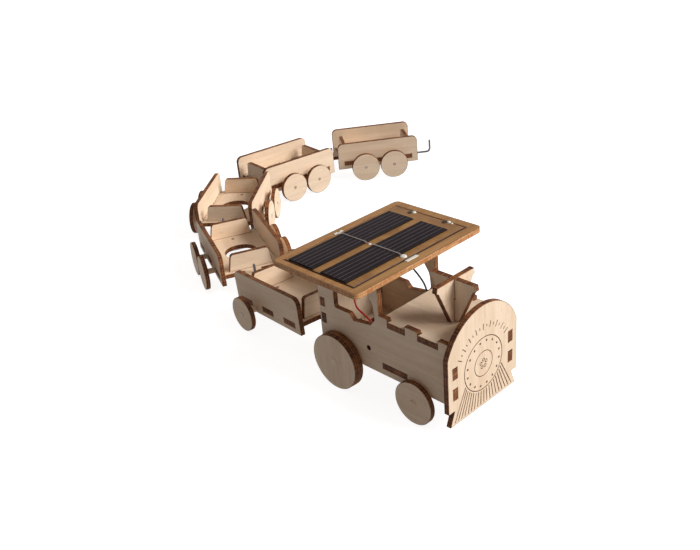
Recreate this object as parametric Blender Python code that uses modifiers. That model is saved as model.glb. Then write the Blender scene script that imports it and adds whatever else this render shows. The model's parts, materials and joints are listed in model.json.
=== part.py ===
"""Laser-cut plywood solar train: a locomotive under a solar roof, and five open wagons.

Everything is measured in millimetres and turned into metres when a mesh is made.
X runs forward along the locomotive, Y to its left, Z up from the ground.
"""
import math

import bmesh
import bpy
from mathutils import Matrix, Vector

MM = 0.001

# Sheet and wire stock
PLY = 4.0                    # thickness of every cut panel
GAP = 0.3                    # clearance left between neighbouring pieces
PIN = 1.0                    # radius of a wagon's axle
HOOK_WIRE = 1.2              # radius of the wire that the hooks are bent from

# Where the locomotive's front face stands, so that the whole train is centred on the origin
FRONT_X = 245.98
FRONT_Y = -151.54

# Locomotive
SIDE_Y = 29.7                # middle of a side panel's thickness
SIDE_INNER = SIDE_Y - PLY / 2
SIDE_OUTER = SIDE_Y + PLY / 2
SIDE_BOTTOM = 24.0
SIDE_REAR = -127.0
RECESS_Z = 65.2              # where the hood deck's tabs rest
TOOTH_Z = 72.0
POST_FRONT = -65.0
ROOF_UNDER = 104.0
ROOF_TOP = 108.0
ROOF_REAR = -133.0
ROOF_FRONT = -49.7
ROOF_RIGHT = -65.2
ROOF_LEFT = 63.0
POCKET = ((-127.4, -59.4), (-57.7, 55.4))    # opposite corners of the module's pocket, in (x, y)
FLOOR_TOP = 33.5
DECK_TOP = 69.5
REAR_WALL_X = -123.0
CHIMNEY_X = -24.3
CHIMNEY_TOP = 101.4
CHIMNEY_NOTCH = 86.4         # where the two crossed plates meet
REAR_AXLE = (-106.0, 22.3)
FRONT_AXLE = (-32.0, 16.6)
LOCO_PIN = 1.5               # radius of the locomotive's axles
MOTOR = (-77.5, 41.4)
MOTOR_RADIUS = 7.4
BELT_Y = 9.0
HITCH = (-153.7, 4.0)        # upright end of the locomotive's hook
LOCO_HOOK = (19.8, 34.0)     # heights of its flat run and of its tip
REAR_WHEEL = (33.0, 41.3)    # inner and outer faces of a rear wheel
FRONT_WHEEL = (33.4, 37.4)

# Wagons, in a frame whose origin is the hole in the wagon's tongue
TONGUE = 51.6                # tongue hole to the wagon's middle
REACH = 66.0                 # wagon's middle to the upright end of its hook
WAGON_HALF = 47.0
WAGON_SIDE_Y = 28.0
WAGON_BOTTOM = 12.6
WAGON_TOP = 42.8
WAGON_FLOOR = (17.4, 21.4)
WAGON_AXLE = 16.7            # axles before and behind the wagon's middle
WAGON_WHEEL = 16.0           # radius, and height of the axle holes in a side panel
WAGON_WHEEL_Y = 40.0
END_PANEL = 37.8             # middle of an end panel's thickness
END_TOP = 37.8
HOOK = (REACH, 15.9, 30.0, 2.5)          # where a hook turns up, the heights of its run and tip, its bend
LAST_HOOK = (67.8, 11.2, 25.8, 4.0)
HOOK_ROOT = -30.0            # where a wagon's hook enters its floor
FLOOR_TABS = ((-39.7, -24.3), (-7.7, 7.7), (24.3, 39.7))

# The first wagon has one axle and taller panels, and leans back from the locomotive's hook
TENDER_PITCH = 4.0           # degrees, nose up
TENDER_AXLE = -19.6
TENDER_WHEEL = 15.0
TENDER_WHEEL_Y = 41.8
TENDER_RISE = 1.4            # how much taller its panels are
TENDER_HOOK = (REACH, 13.0, 30.0, 2.5)
COUPLING_ANGLES = (-6.2, -17.3, -27.2, -46.2, -29.8)   # degrees, each from the vehicle ahead


# ---------------------------------------------------------------- outlines
def arc(centre, radius, start, stop, steps):
    """Points on a circle, from one angle to another in degrees, both ends included."""
    points = []
    for i in range(steps + 1):
        angle = math.radians(start + (stop - start) * i / steps)
        points.append((centre[0] + radius * math.cos(angle), centre[1] + radius * math.sin(angle)))
    return points


def circle(centre, radius, steps):
    """A closed round outline."""
    return arc(centre, radius, 0, 360, steps)[:-1]


def box(low_x, low_y, high_x, high_y):
    """A closed rectangular outline."""
    return [(low_x, low_y), (high_x, low_y), (high_x, high_y), (low_x, high_y)]


def filleted(corners, steps=4, closed=True):
    """Round each corner (point, radius) of an outline or a path; the points may be 2D or 3D."""
    points = []
    count = len(corners)
    for i, (corner, radius) in enumerate(corners):
        here = Vector(corner)
        if radius == 0 or (not closed and i in (0, count - 1)):
            points.append(tuple(here))
            continue
        back = (Vector(corners[i - 1][0]) - here).normalized()
        ahead = (Vector(corners[(i + 1) % count][0]) - here).normalized()
        half = back.angle(ahead) / 2
        middle = here + (back + ahead).normalized() * (radius / math.sin(half))
        from_middle = here + back * (radius / math.tan(half)) - middle
        to_middle = here + ahead * (radius / math.tan(half)) - middle
        sweep = math.pi - 2 * half
        for step in range(steps + 1):
            turn = sweep * step / steps
            spoke = from_middle * math.sin(sweep - turn) + to_middle * math.sin(turn)
            points.append(tuple(middle + spoke / math.sin(sweep)))
    return points


def both_sides(half):
    """Close a half outline, given from bottom to top at positive x, with its mirror image."""
    return list(half) + [(-x, y) for x, y in reversed(half)]


# ---------------------------------------------------------------- meshes
def sheet(outline, holes=(), thickness=PLY):
    """A flat piece cut from sheet: the filled outline, centred on its own XY plane."""
    curve = bpy.data.curves.new("outline", "CURVE")
    curve.dimensions = "2D"
    curve.fill_mode = "BOTH"
    curve.extrude = thickness / 2 * MM
    for ring in [outline, *holes]:
        spline = curve.splines.new("POLY")
        spline.points.add(len(ring) - 1)
        for point, (x, y) in zip(spline.points, ring):
            point.co = (x * MM, y * MM, 0, 1)
        spline.use_cyclic_u = True
    guide = bpy.data.objects.new("outline", curve)
    bpy.context.scene.collection.objects.link(guide)
    evaluated = guide.evaluated_get(bpy.context.evaluated_depsgraph_get())
    mesh = bpy.data.meshes.new_from_object(evaluated)
    bpy.data.objects.remove(guide)
    shape = bmesh.new()
    shape.from_mesh(mesh)
    bmesh.ops.remove_doubles(shape, verts=shape.verts, dist=1e-6)
    bmesh.ops.recalc_face_normals(shape, faces=shape.faces)
    shape.to_mesh(mesh)
    shape.free()
    return mesh


def upright_along_x(y=0.0):
    """Stand a sheet in the XZ plane, its own Y axis upwards, its middle at this y."""
    turn = Matrix(((1, 0, 0), (0, 0, -1), (0, 1, 0))).to_4x4()
    return Matrix.Translation((0, y * MM, 0)) @ turn


def upright_along_y(x=0.0):
    """Stand a sheet in the YZ plane, its own X axis along Y, its middle at this x."""
    turn = Matrix(((0, 0, 1), (1, 0, 0), (0, 1, 0))).to_4x4()
    return Matrix.Translation((x * MM, 0, 0)) @ turn


def flat(low, high):
    """Lay a sheet level between two heights."""
    return Matrix.Translation((0, 0, (low + high) / 2 * MM))


# ---------------------------------------------------------------- objects
def material(name, color, roughness, metallic=0.0):
    """A plain finish."""
    made = bpy.data.materials.new(name)
    made.use_nodes = True
    shader = made.node_tree.nodes["Principled BSDF"]
    shader.inputs["Base Color"].default_value = (*color, 1.0)
    shader.inputs["Roughness"].default_value = roughness
    shader.inputs["Metallic"].default_value = metallic
    return made


FINISHES = {
    "ply": ((0.58, 0.42, 0.28), 0.7, 0.0),
    "module": ((0.30, 0.14, 0.05), 0.35, 0.0),
    "cell": ((0.012, 0.010, 0.020), 0.2, 0.0),
    "tin": ((0.75, 0.74, 0.72), 0.3, 1.0),
    "steel": ((0.45, 0.45, 0.46), 0.35, 1.0),
    "nylon": ((0.80, 0.79, 0.75), 0.5, 0.0),
    "rubber": ((0.02, 0.02, 0.02), 0.8, 0.0),
    "red_lead": ((0.55, 0.02, 0.02), 0.4, 0.0),
    "black_lead": ((0.02, 0.02, 0.02), 0.4, 0.0),
}


def node(name, mesh, finish, parent, matrix=Matrix()):
    """Place a mesh as one named part under its parent."""
    part = bpy.data.objects.new(name, mesh)
    part.data.name = name
    part.parent = parent
    part.matrix_local = matrix
    part.data.materials.clear()
    part.data.materials.append(material(name, *FINISHES[finish]))
    train.objects.link(part)
    return part


def tube(name, points, radius, finish, parent, cyclic=False):
    """A round wire, lead or belt along points in millimetres."""
    curve = bpy.data.curves.new(name, "CURVE")
    curve.dimensions = "3D"
    curve.bevel_depth = radius * MM
    curve.bevel_resolution = 2
    curve.use_fill_caps = True
    spline = curve.splines.new("POLY")
    spline.points.add(len(points) - 1)
    for knot, point in zip(spline.points, points):
        knot.co = (*(Vector(point) * MM), 1)
    spline.use_cyclic_u = cyclic
    return node(name, curve, finish, parent)


def turned(name, profile, finish, parent, matrix=Matrix(), steps=16):
    """A turned piece: (radius, height) points from top to bottom, spun round its own Z axis."""
    mesh = bpy.data.meshes.new(name)
    edges = [(i, i + 1) for i in range(len(profile) - 1)]
    mesh.from_pydata([(r * MM, 0, z * MM) for r, z in profile], edges, [])
    part = node(name, mesh, finish, parent, matrix)
    screw = part.modifiers.new("Turn", "SCREW")
    screw.steps = steps
    screw.render_steps = steps
    screw.use_merge_vertices = True
    screw.merge_threshold = 1e-6
    return part


def empty(name, parent, location, angle=0.0):
    """A named frame that pieces hang from, turned about Z in degrees."""
    frame = bpy.data.objects.new(name, None)
    frame.parent = parent
    frame.location = Vector(location) * MM
    frame.rotation_euler = (0, 0, math.radians(angle))
    train.objects.link(frame)
    return frame


def smooth_path(knots, spacing):
    """Points about one spacing apart on a Catmull-Rom curve through the knots."""
    knots = [Vector(k) for k in knots]
    ends = [2 * knots[0] - knots[1], *knots, 2 * knots[-1] - knots[-2]]
    points = [tuple(knots[0])]
    for a, b, c, d in zip(ends, ends[1:], ends[2:], ends[3:]):
        steps = max(1, round((c - b).length / spacing))
        for i in range(1, steps + 1):
            t = i / steps
            point = (2 * b + (c - a) * t + (2 * a - 5 * b + 4 * c - d) * t**2
                     + (3 * b - a - 3 * c + d) * t**3) / 2
            points.append(tuple(point))
    return points


# ---------------------------------------------------------------- running gear
def wheelset(name, radius, pin, wheel, parent, collar=None, pulley=None):
    """An axle with a wheel on each end, turned as one: wheel is its inner and outer face along Y.

    collar is the (radius, inner end) of a spacer inside each wheel, pulley the rim radius of a
    grooved pulley round the axle at the belt.
    """
    inner, outer = wheel
    half = [(0, outer + 0.6), (pin, outer + 0.6), (pin, outer), (radius, outer), (radius, inner)]
    if collar:
        half += [(collar[0], inner), (collar[0], collar[1]), (pin, collar[1])]
    else:
        half.append((pin, inner))
    middle = []
    if pulley:
        middle = [(pin, 2 - BELT_Y), (pulley, 2 - BELT_Y), (pulley - 1.6, 0.6 - BELT_Y),
                  (pulley - 1.6, -0.6 - BELT_Y), (pulley, -2 - BELT_Y), (pin, -2 - BELT_Y)]
    profile = half + middle + [(r, -h) for r, h in reversed(half)]
    return turned(name, profile, "ply", parent, upright_along_x())


# ---------------------------------------------------------------- locomotive
def loco_side():
    """Side panel in (x, z): bearing lobes below, hood teeth, cab posts and an arched window."""
    outline = [(-PLY - GAP, SIDE_BOTTOM)]
    for x, z in (FRONT_AXLE, REAR_AXLE):
        outline += [(x + 6, SIDE_BOTTOM), *arc((x, z), 6, 0, -180, 6), (x - 6, SIDE_BOTTOM)]
    outline += [(SIDE_REAR, SIDE_BOTTOM), (SIDE_REAR, ROOF_UNDER - GAP)]
    outline += [(POST_FRONT, ROOF_UNDER - GAP), (POST_FRONT, TOOTH_Z)]
    for front, rear in ((-41.5, -57.5), (-12.5, -30.0)):
        outline += [(rear, TOOTH_Z), (rear, RECESS_Z), (front, RECESS_Z), (front, TOOTH_Z)]
    outline.append((-PLY - GAP, TOOTH_Z))
    for low, high in reversed(PLATE_SLOTS):
        outline += [(-PLY - GAP, high - GAP), (0, high - GAP), (0, low + GAP), (-PLY - GAP, low + GAP)]
    window = filleted([((-74.0, 61.6), 1), ((-69.6, 67.0), 2), ((-70.6, 78), 8), ((-84, 98), 6),
                       ((-110, 98), 10), ((-110, 63.4), 1), ((-95.2, 63.4), 1), ((-91.0, 58.9), 1)], steps=2)
    holes = [window, box(*FLOOR_SLOT[0], *FLOOR_SLOT[1]), circle(MOTOR, 1.8, 8)]
    for low, high in WALL_SLOTS:
        holes.append(box(REAR_WALL_X - PLY / 2 - GAP, low, REAR_WALL_X + PLY / 2 + GAP, high))
    for centre in (FRONT_AXLE, REAR_AXLE):
        holes.append(circle(centre, LOCO_PIN + 0.4, 10))
    return sheet(outline, holes)


PLATE_SLOTS = ((30.2, 39.0), (46.5, 55.2))          # heights of the slots in the front plate
WALL_SLOTS = ((46.0, 54.0), (60.0, 67.0))           # heights of the rear wall's slots
FLOOR_SLOT = ((-64.5, 29.2), (-41.5, 33.8))         # opposite corners, in (x, z)
DECK_TABS = ((-57.2, -41.8), (-29.7, -12.8))


def front_plate():
    """Arched front plate in (y, z), its lower part flared over the rails."""
    half = [(35.5, 9.8), (31.0, 21.3), (37.0, 21.3), (37.0, 62.8)]
    start = math.degrees(math.atan2(62.8 - 49.2, 37.0))
    crown = arc((0, 49.2), 39.4, start, 180 - start, 20)
    outline = half + crown + [(-y, z) for y, z in reversed(half)]
    holes = []
    for side in (-1, 1):
        for low, high in PLATE_SLOTS:
            middle = side * SIDE_Y
            holes.append(box(middle - PLY / 2 - GAP, low, middle + PLY / 2 + GAP, high))
    return sheet(outline, holes)


def loco_floor():
    """Floor in (x, y), with side tabs, a slot for the drive belt and a hole for the hook."""
    wide = SIDE_INNER - GAP
    rear = REAR_WALL_X + PLY / 2 + GAP
    front = -PLY - GAP
    tab = (FLOOR_SLOT[0][0] + GAP, FLOOR_SLOT[1][0] - GAP)
    outline = [(rear, -wide), (tab[0], -wide), (tab[0], -SIDE_OUTER), (tab[1], -SIDE_OUTER),
               (tab[1], -wide), (front, -wide), (front, wide), (tab[1], wide), (tab[1], SIDE_OUTER),
               (tab[0], SIDE_OUTER), (tab[0], wide), (rear, wide)]
    belt_slot = box(-114, BELT_Y - 4, -70, BELT_Y + 4)
    return sheet(outline, [belt_slot, circle((-118, 0), HOOK_WIRE + 0.4, 12)])


def hood_deck():
    """Level top of the hood in (x, y), with two tabs on each side."""
    wide = SIDE_INNER - GAP
    lower = []
    for low, high in DECK_TABS:
        lower += [(low, -wide), (low, -SIDE_OUTER), (high, -SIDE_OUTER), (high, -wide)]
    outline = [(POST_FRONT, -wide), *lower, (-PLY - GAP, -wide)]
    return sheet(outline + [(x, -y) for x, y in reversed(outline)])


def rear_wall():
    """Cab's rear wall in (y, z), tabbed into the side panels."""
    wide = SIDE_INNER - GAP
    half = [(wide, SIDE_BOTTOM)]
    for low, high in WALL_SLOTS:
        half += [(wide, low + GAP), (SIDE_OUTER, low + GAP), (SIDE_OUTER, high - GAP), (wide, high - GAP)]
    half += arc((wide - 8, 90), 8, 0, 90, 5)
    return sheet(both_sides(half))


def chimney(slot_from_below):
    """One of the two crossed plates, flaring upwards to small ears, with a half-height slot."""
    base = DECK_TOP + GAP
    half = [(5.5, base), (17.8, 96.4), (19.8, 97.4), (19.0, CHIMNEY_TOP)]
    slot = PLY / 2 + GAP
    if slot_from_below:
        half = [(slot, CHIMNEY_NOTCH + GAP), (slot, base), *half]
    else:
        half = [*half, (slot, CHIMNEY_TOP), (slot, CHIMNEY_NOTCH)]
    return sheet(both_sides(half))


def roof_board():
    """Plywood roof with a shallow pocket for the solar module."""
    corner = 4
    corners = [(point, corner) for point in box(ROOF_REAR, ROOF_RIGHT, ROOF_FRONT, ROOF_LEFT)]
    board = node("loco_roof_board", sheet(filleted(corners)), "ply", loco, flat(ROOF_UNDER, ROOF_TOP))
    pocket_depth = 1.2
    shape = sheet(box(*POCKET[0], *POCKET[1]), (), 2 * pocket_depth)
    cutter = bpy.data.objects.new("module_pocket", shape)
    cutter.parent = loco
    cutter.location.z = ROOF_TOP * MM
    cutter.hide_render = True
    cutter.display_type = "WIRE"
    cutters.objects.link(cutter)
    cut = board.modifiers.new("Pocket", "BOOLEAN")
    cut.operation = "DIFFERENCE"
    cut.object = cutter


def solar_module():
    """Module plate in its pocket, the four cells on it, and their ribbons and contacts."""
    gap = 0.9
    (rear, right), (front, left) = POCKET
    plate = sheet(box(rear + gap, right + gap, front - gap, left - gap), (), 1)
    base = ROOF_TOP - 0.9
    node("loco_solar_module", plate, "module", loco, flat(base, base + 1))
    cell_low = base + 1 + GAP
    cell_high = cell_low + 0.6
    for place, rear, front in (("rear", -122.7, -98.1), ("front", -90.5, -65.5)):
        row = sheet(box(rear, -58.0, front, 43.2), (), 0.6)
        node(f"loco_cell_row_{place}", row, "cell", loco, flat(cell_low, cell_high))
    ribbon_low = cell_high + GAP
    ribbon = sheet(box(-124.5, -7.1, -66.3, -5.9), (), 0.3)
    node("loco_cell_ribbon", ribbon, "tin", loco, flat(ribbon_low, ribbon_low + 0.3))


def belt_path():
    """Loop round both pulleys in (x, z): two arcs joined by the outer tangents."""
    small, big = 3.9, 9.9
    start, end = Vector(MOTOR), Vector(REAR_AXLE)
    along = end - start
    heading = math.degrees(math.atan2(along.y, along.x))
    lean = math.degrees(math.acos((small - big) / along.length))
    around_big = arc(end, big, heading + lean, heading - lean, 10)
    around_small = arc(start, small, heading - lean, heading + lean - 360, 5)
    return around_big + around_small


def drive():
    """Motor, its pulley, the belt and the two leads down from the roof."""
    across = upright_along_x()
    shaft_frame = empty("motor_shaft_frame", loco, (MOTOR[0], 0, MOTOR[1]))
    can = [(0, 18.5), (3, 18.5), (3, 18), (6.8, 18), (MOTOR_RADIUS, 17.4), (MOTOR_RADIUS, -3.4),
           (6.8, -4), (2.5, -4), (2.5, -5.2), (0, -5.2)]
    turned("loco_motor", can, "steel", loco, Matrix.Translation((MOTOR[0] * MM, 0, MOTOR[1] * MM)) @ across)
    pulley = [(0, -5.6), (0.8, -5.6), (0.8, -7), (4.6, -7), (3.0, -8.4), (3.0, -9.6), (4.6, -11),
              (1.4, -11), (1.4, -12), (0, -12)]
    turned("loco_motor_pulley", pulley, "nylon", shaft_frame, across)
    tube("loco_drive_belt", [(x, BELT_Y, z) for x, z in belt_path()], 0.6, "rubber", loco, cyclic=True)
    for name, route in LEAD_ROUTES.items():
        tube(f"loco_lead_{name}", smooth_path(route, 6), 0.7, f"{name}_lead", loco)


# Chosen routes of the two leads, from the roof's underside to the motor's rear terminals
LEAD_ROUTES = {
    "red": ((-97, -14, 103.5), (-98, -17, 94), (-99, -21.5, 80), (-95, -24.6, 67), (-87, -25, 62.3),
            (-79.5, -24.6, 58), (-76, -22.5, 50), (-75, -21, 45)),
    "black": ((-97, 12, 103.5), (-92, 18, 93), (-82, 23.5, 80), (-72.5, 24.6, 69), (-69, 21, 61),
              (-71, 8, 56.5), (-76, -8, 54), (-80, -18.5, 52), (-81, -22, 47.5), (-80.5, -21.5, 42)),
}


def locomotive():
    """All the locomotive's pieces."""
    side = loco_side()
    node("loco_side_right", side, "ply", loco, upright_along_x(-SIDE_Y))
    node("loco_side_left", side.copy(), "ply", loco, upright_along_x(SIDE_Y))
    node("loco_front_plate", front_plate(), "ply", loco, upright_along_y(-PLY / 2))
    node("loco_rear_wall", rear_wall(), "ply", loco, upright_along_y(REAR_WALL_X))
    node("loco_floor", loco_floor(), "ply", loco, flat(FLOOR_TOP - PLY, FLOOR_TOP))
    node("loco_hood_deck", hood_deck(), "ply", loco, flat(DECK_TOP - PLY, DECK_TOP))
    at_chimney = Matrix.Translation((CHIMNEY_X * MM, 0, 0))
    node("loco_chimney_long", chimney(False), "ply", loco, at_chimney @ upright_along_x())
    node("loco_chimney_cross", chimney(True), "ply", loco, at_chimney @ upright_along_y())
    roof_board()
    solar_module()
    wheelset("loco_rear_wheelset", REAR_AXLE[1], LOCO_PIN, REAR_WHEEL, rear_axle_frame, pulley=10.6)
    wheelset("loco_front_wheelset", FRONT_AXLE[1], LOCO_PIN, FRONT_WHEEL, front_axle_frame)
    drive()
    hitch_x, hitch_y = HITCH
    low, tip = LOCO_HOOK
    route = [((-118, 0, 36), 0), ((-118, 0, low), 3), ((hitch_x, hitch_y, low), 2.5),
             ((hitch_x, hitch_y, tip), 0)]
    tube("loco_hook", filleted(route, steps=3, closed=False), HOOK_WIRE, "steel", loco)


# ---------------------------------------------------------------- wagons
def wagon_side(axles, rise):
    """Side panel in (u, z), rounded above, slotted for the floor and bored for the axles."""
    top = WAGON_TOP + rise
    corners = [((-WAGON_HALF, WAGON_BOTTOM), 0), ((WAGON_HALF, WAGON_BOTTOM), 0),
               ((WAGON_HALF, top), 6), ((-WAGON_HALF, top), 6)]
    holes = [circle((u, WAGON_WHEEL), PIN + 0.4, 8) for u in axles]
    for low, high in FLOOR_TABS:
        holes.append(box(low - GAP, WAGON_FLOOR[0] - GAP, high + GAP, WAGON_FLOOR[1] + GAP))
    return sheet(filleted(corners), holes)


def wagon_floor(pierced):
    """Floor in (u, v): three tabs a side, a tongue with its hole, a hook hole and a round opening."""
    wide = WAGON_SIDE_Y - PLY / 2 - GAP
    outer = WAGON_SIDE_Y + PLY / 2
    end, tongue = 43.5, 8.0
    right = [(-end, -wide)]
    for low, high in FLOOR_TABS:
        right += [(low, -wide), (low, -outer), (high, -outer), (high, -wide)]
    right += [(end, -wide), (end, -tongue)]
    nose = arc((TONGUE - 2, 0), tongue, -90, 90, 6)
    outline = right + nose + [(u, -v) for u, v in reversed(right)]
    holes = [circle((TONGUE, 0), 2.2, 10), circle((HOOK_ROOT, 0), HOOK_WIRE + 0.4, 8)]
    if pierced:
        holes.append(circle((1.5, 0), 15, 20))
    return sheet(outline, holes)


def wagon_end(rise):
    """Low end panel in (v, z), standing on the floor between the sides."""
    foot, top, low, high = 20.4, 17.4, WAGON_FLOOR[1] + GAP, END_TOP + rise
    return sheet(filleted([((-foot, low), 0), ((foot, low), 0), ((top, high), 3), ((-top, high), 3)]))


def wagon_body(prefix, body, axles, rise, pierced):
    """Side panels, end panels and floor of one wagon, hanging from its body frame."""
    for name, side in (("right", -1), ("left", 1)):
        panel = wagon_side(axles.values(), rise)
        node(f"{prefix}side_{name}", panel, "ply", body, upright_along_x(side * WAGON_SIDE_Y))
    for name, end in (("rear", -1), ("front", 1)):
        node(f"{prefix}end_{name}", wagon_end(rise), "ply", body, upright_along_y(end * END_PANEL))
    node(prefix + "floor", wagon_floor(pierced), "ply", body, flat(*WAGON_FLOOR))


def wagon_hook(prefix, middle, root, shape):
    """Wire hook from the floor's top at root, (u, z), back along a level run and up to its tip."""
    u, top = root
    reach, low, tip, bend = shape
    route = [((u, 0, top), 0), ((u, 0, low), 2.5), ((-reach, 0, low), bend), ((-reach, 0, tip), 0)]
    tube(prefix + "hook", filleted(route, steps=3, closed=False), HOOK_WIRE, "steel", middle)


def wagon_wheels(prefix, name, middle, place, wheel_y):
    """One wheelset with its axle at place, (u, z), which is also its wheels' radius."""
    u, radius = place
    wheel = (wheel_y - PLY / 2, wheel_y + PLY / 2)
    collar = (2.6, WAGON_SIDE_Y + PLY / 2 + GAP)
    frame = empty(f"{prefix}{name}_axle_frame", middle, (u, 0, radius))
    wheelset(f"{prefix}{name}_wheelset", radius, PIN, wheel, frame, collar)


def wagon(number, pivot):
    """One level wagon with two axles, hanging from the frame at its tongue hole."""
    prefix = f"wagon_{number}_"
    middle = empty(prefix + "middle", pivot, (-TONGUE, 0, 0))
    axles = {"front": WAGON_AXLE, "rear": -WAGON_AXLE}
    wagon_body(prefix, middle, axles, 0.0, pierced=True)
    for name, u in axles.items():
        wagon_wheels(prefix, name, middle, (u, WAGON_WHEEL), WAGON_WHEEL_Y)
    shape = LAST_HOOK if number == len(COUPLING_ANGLES) else HOOK
    wagon_hook(prefix, middle, (HOOK_ROOT, WAGON_FLOOR[1]), shape)
    return middle


def leaned(u, z):
    """Where a point (u, z) of the first wagon's body lies once the body leans about its axle."""
    pitch = math.radians(TENDER_PITCH)
    ahead, above = u - TENDER_AXLE, z - WAGON_WHEEL
    return (TENDER_AXLE + ahead * math.cos(pitch) - above * math.sin(pitch),
            TENDER_WHEEL + ahead * math.sin(pitch) + above * math.cos(pitch))


def tender(pivot):
    """The first wagon: a body leaning back on one axle, its tongue held up by the locomotive."""
    prefix = "wagon_1_"
    tongue_u, _ = leaned(TONGUE, sum(WAGON_FLOOR) / 2)
    middle = empty(prefix + "middle", pivot, (-tongue_u, 0, 0))
    u, z = leaned(0, 0)
    body = empty(prefix + "body", middle, (u, 0, z))
    body.rotation_euler.y = -math.radians(TENDER_PITCH)
    wagon_body(prefix, body, {"rear": TENDER_AXLE}, TENDER_RISE, pierced=False)
    wagon_wheels(prefix, "rear", middle, (TENDER_AXLE, TENDER_WHEEL), TENDER_WHEEL_Y)
    wagon_hook(prefix, middle, leaned(HOOK_ROOT, WAGON_FLOOR[1]), TENDER_HOOK)
    return middle


# ---------------------------------------------------------------- the train
for old in list(bpy.data.objects):
    bpy.data.objects.remove(old)
train = bpy.data.collections.new("solar_train")
cutters = bpy.data.collections.new("cutters")
for collection in (train, cutters):
    bpy.context.scene.collection.children.link(collection)

loco = empty("loco_frame", None, (FRONT_X, FRONT_Y, 0))
rear_axle_frame = empty("loco_rear_axle_frame", loco, (REAR_AXLE[0], 0, REAR_AXLE[1]))
front_axle_frame = empty("loco_front_axle_frame", loco, (FRONT_AXLE[0], 0, FRONT_AXLE[1]))
locomotive()

ahead = loco
coupling_point = (*HITCH, 0)
for count, bend in enumerate(COUPLING_ANGLES, start=1):
    coupling = empty(f"wagon_{count}_coupling", ahead, coupling_point, bend)
    ahead = tender(coupling) if count == 1 else wagon(count, coupling)
    coupling_point = (-REACH, 0, 0)
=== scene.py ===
"""Looks of the plywood solar train: its cut panels, wheels, wires and solar roof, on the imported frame.

Lengths are in millimetres in each piece's own frame, and become metres when a mesh is made.
"""
import json
import math

import bmesh
import bpy
from mathutils import Matrix, Vector


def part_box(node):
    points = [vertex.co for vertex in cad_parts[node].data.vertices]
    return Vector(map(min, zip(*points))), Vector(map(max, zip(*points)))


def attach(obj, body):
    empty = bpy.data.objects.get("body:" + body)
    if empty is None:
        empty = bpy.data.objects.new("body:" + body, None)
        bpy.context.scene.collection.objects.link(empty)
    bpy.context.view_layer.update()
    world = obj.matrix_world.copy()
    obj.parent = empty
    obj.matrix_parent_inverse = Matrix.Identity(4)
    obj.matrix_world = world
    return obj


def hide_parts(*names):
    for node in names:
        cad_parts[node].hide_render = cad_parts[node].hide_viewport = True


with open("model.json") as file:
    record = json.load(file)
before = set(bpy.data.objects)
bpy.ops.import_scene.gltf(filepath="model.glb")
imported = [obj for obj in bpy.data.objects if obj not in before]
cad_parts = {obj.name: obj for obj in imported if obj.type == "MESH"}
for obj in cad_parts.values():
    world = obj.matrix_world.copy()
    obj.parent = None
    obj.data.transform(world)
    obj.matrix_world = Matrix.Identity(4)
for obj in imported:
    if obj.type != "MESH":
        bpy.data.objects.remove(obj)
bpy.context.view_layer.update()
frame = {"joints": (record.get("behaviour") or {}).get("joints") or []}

MM = 0.001
PLY = 4.0                    # thickness of the plywood
GAP = 0.3                    # clearance round a tab in its slot
PIN = 1.0                    # radius of a wagon's axle
LOCO_PIN = 1.5               # radius of a locomotive's axle
AXLE_PLAY = 0.4              # by which an axle's hole is larger in radius
HOOK_WIRE = 1.2              # radius of the wire that the hooks are bent from
HOOK_BEND = 2.5              # radius of a hook's bends
ARRIS = 0.16                 # rounding where a cut edge meets the face
SCORCH = 0.55                # width of the brown line beside a cut edge
WELD = 1e-5                  # vertices closer than this become one

JOINTS = {joint["name"]: joint for joint in frame["joints"]}


def size(node):
    """Lowest and highest corners of a CAD node in millimetres."""
    low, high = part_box(node)
    return low / MM, high / MM


# The locomotive's frame: its origin is on the ground under the middle of the front plate's face
PLATE_LOW, PLATE_HIGH = size("loco_front_plate")
LOCO_AT = Vector((PLATE_HIGH.x, (PLATE_LOW.y + PLATE_HIGH.y) / 2, 0))
LOCO = Matrix.Translation(LOCO_AT * MM)


def local(node):
    """Corners of a locomotive node in the locomotive's frame, in millimetres."""
    low, high = size(node)
    return low - LOCO_AT, high - LOCO_AT


def spin_centre(joint):
    """Where a locomotive joint lies in (x, z) of the locomotive's frame, in millimetres."""
    at = Vector(JOINTS[joint]["pos_m"]) / MM - LOCO_AT
    return at.x, at.z


SIDE_LOW, SIDE_HIGH = local("loco_side_right")
SIDE_Y = -(SIDE_LOW.y + SIDE_HIGH.y) / 2
SIDE_INNER = SIDE_Y - PLY / 2
SIDE_OUTER = SIDE_Y + PLY / 2
SIDE_BOTTOM = 24.0
SIDE_REAR = SIDE_LOW.x
SIDE_TOP = SIDE_HIGH.z
RECESS_Z = 65.2              # bottom of the notches for the hood's tabs
TOOTH_Z = 72.0               # top of a side beside the hood
POST_FRONT = -65.0           # where a side steps up to the cab
ROOF_LOW, ROOF_HIGH = local("loco_roof_board")
MODULE_LOW, MODULE_HIGH = local("loco_solar_module")
DECK_LOW, DECK_HIGH = local("loco_hood_deck")
FLOOR_LOW, FLOOR_HIGH = local("loco_floor")
WALL_LOW, WALL_HIGH = local("loco_rear_wall")
CHIMNEY_LOW, CHIMNEY_HIGH = local("loco_chimney_cross")
CHIMNEY_X = (CHIMNEY_LOW.x + CHIMNEY_HIGH.x) / 2
REAR_AXLE = spin_centre("loco_rear_axle_spin")
FRONT_AXLE = spin_centre("loco_front_axle_spin")
MOTOR = spin_centre("motor_spin")
BELT_Y = 9.0                 # middle of the belt
LOCO_HOOK = (-118.0, 36.0)   # where the locomotive's hook ends above its floor, in (x, z)

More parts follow.
